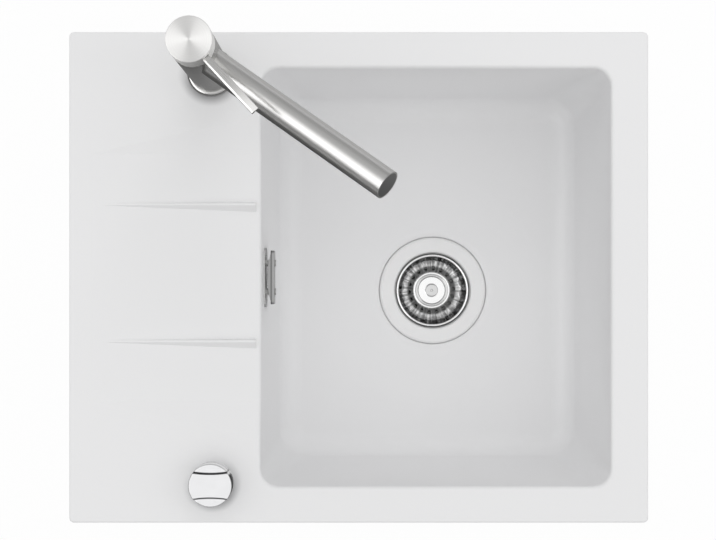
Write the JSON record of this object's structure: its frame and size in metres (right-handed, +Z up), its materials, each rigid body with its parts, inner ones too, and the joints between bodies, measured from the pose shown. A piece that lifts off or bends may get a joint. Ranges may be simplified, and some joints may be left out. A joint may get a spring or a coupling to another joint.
{
  "type": "kitchen sink with drainboard",
  "caption": "White composite inset kitchen sink with one bowl, a ribbed drainboard, a single-lever swivel tap, a basket strainer and a rotary pop-up knob.",
  "frame": {"origin": "centre of the rim's outline in the plane of the worktop's surface, where the rim rests", "axes": "+X from the drainboard to the bowl, +Y to the rear where the tap stands, +Z up"},
  "size_m": [0.59, 0.5, 0.5643],
  "materials": {
    "composite": "satin moulded quartz composite, white",
    "white_trim": "white, satin gloss",
    "brushed_steel": "brushed stainless steel",
    "polished_steel": "polished stainless steel",
    "pressed_steel": "pressed stainless steel",
    "knob_metal": "satin chrome",
    "plain_steel": "plated steel",
    "brass": "turned brass",
    "seal_rubber": "black rubber",
    "foam_seal": "grey closed-cell sealing tape",
    "grey_plastic": "dark grey plastic",
    "white_plastic": "white plastic",
    "end_plug_steel": "dark turned face",
    "ceramic": "ground ceramic"
  },
  "bodies": {
    "sink": {"sink_body": "composite", "rim_seal": "foam_seal", "fixing_clips": "plain_steel", "clip_screws": "plain_steel", "overflow_plate": "brushed_steel", "overflow_insert": "white_plastic", "overflow_gasket": "seal_rubber", "overflow_elbow": "white_plastic", "overflow_screws": "plain_steel", "overflow_pipe": "white_plastic", "strainer_upper_seal": "seal_rubber", "strainer_body": "pressed_steel", "drain_trim_ring": "white_trim", "strainer_lower_seal": "seal_rubber", "strainer_locknut": "grey_plastic", "housing_washer": "seal_rubber", "popup_housing": "white_plastic", "rocker_case_cover": "grey_plastic", "housing_union_nut": "white_plastic", "knob_gasket": "seal_rubber", "knob_housing": "grey_plastic", "knob_case_cover": "grey_plastic", "knob_nut": "plain_steel", "knob_rosette": "knob_metal", "tap_base_seal": "seal_rubber", "tap_base_ring": "brushed_steel", "tap_inner_body": "brass", "swivel_o_rings": "seal_rubber", "glide_rings": "white_plastic", "tap_stud": "plain_steel", "tap_rubber_washer": "seal_rubber", "tap_clamp_plate": "plain_steel", "tap_stud_nut": "brass", "cartridge_seal": "seal_rubber", "cartridge_housing": "grey_plastic", "fixed_disc": "ceramic", "cartridge_nut": "brass"},
    "spout": {"swivel_sleeve": "brushed_steel", "spout_tube": "brushed_steel", "spout_end_plug": "end_plug_steel", "aerator_housing": "polished_steel", "aerator_insert": "grey_plastic"},
    "lever_carrier": {"cartridge_carrier": "grey_plastic", "stem_pin": "plain_steel"},
    "cartridge_disc": {"moving_disc": "ceramic"},
    "lever": {"lever_stem": "plain_steel", "lever_cap": "brushed_steel", "lever_bar": "brushed_steel", "lever_set_screw": "plain_steel"},
    "knob": {"rotary_knob": "knob_metal", "knob_spindle": "plain_steel", "cable_drum": "white_plastic"},
    "rocker": {"rocker_arm": "plain_steel", "rocker_shaft": "plain_steel", "rocker_drum": "white_plastic"},
    "lift_pin": {"lift_pin": "plain_steel"},
    "basket": {"strainer_basket": "polished_steel", "basket_cap": "polished_steel", "basket_stem": "grey_plastic", "basket_valve_seal": "seal_rubber"}
  },
  "joints": [
    {"name": "spout_swivel", "type": "hinge", "parent": "sink", "child": "spout", "pos_m": [-0.15, 0.2085, 0.146], "axis": [0, 0, 1], "range_deg": [-60, 60]},
    {"name": "lever_turn", "type": "hinge", "parent": "sink", "child": "lever_carrier", "pos_m": [-0.15, 0.2085, 0.19], "axis": [0, 0, 1], "range_deg": [-50, 50]},
    {"name": "lever_lift", "type": "hinge", "parent": "lever_carrier", "child": "lever", "pos_m": [-0.15, 0.2085, 0.19], "axis": [-0.7314, -0.682, 0], "range_deg": [0, 20]},
    {"name": "disc_slide", "type": "slide", "parent": "lever_carrier", "child": "cartridge_disc", "axis": [0.682, -0.7314, 0], "range_m": [0, 0.0028]},
    {"name": "knob_turn", "type": "hinge", "parent": "sink", "child": "knob", "pos_m": [-0.1493, -0.2092, 0.02], "axis": [0, 0, 1], "range_deg": [0, 90]},
    {"name": "rocker_turn", "type": "hinge", "parent": "sink", "child": "rocker", "pos_m": [0.072, -0.015, -0.283], "axis": [0, -1, 0], "range_deg": [0, 36]},
    {"name": "pin_lift", "type": "slide", "parent": "sink", "child": "lift_pin", "axis": [0, 0, 1], "range_m": [0, 0.00866]},
    {"name": "basket_lift_out", "type": "slide", "parent": "lift_pin", "child": "basket", "axis": [0, 0, 1], "range_m": [0, 0.09]}
  ],
  "couplings": [
    {"joint": "disc_slide", "follows": "lever_lift", "m_per_rad": 0.008},
    {"joint": "rocker_turn", "follows": "knob_turn", "ratio": 0.4},
    {"joint": "pin_lift", "follows": "knob_turn", "m_per_rad": 0.0055083}
  ]
}
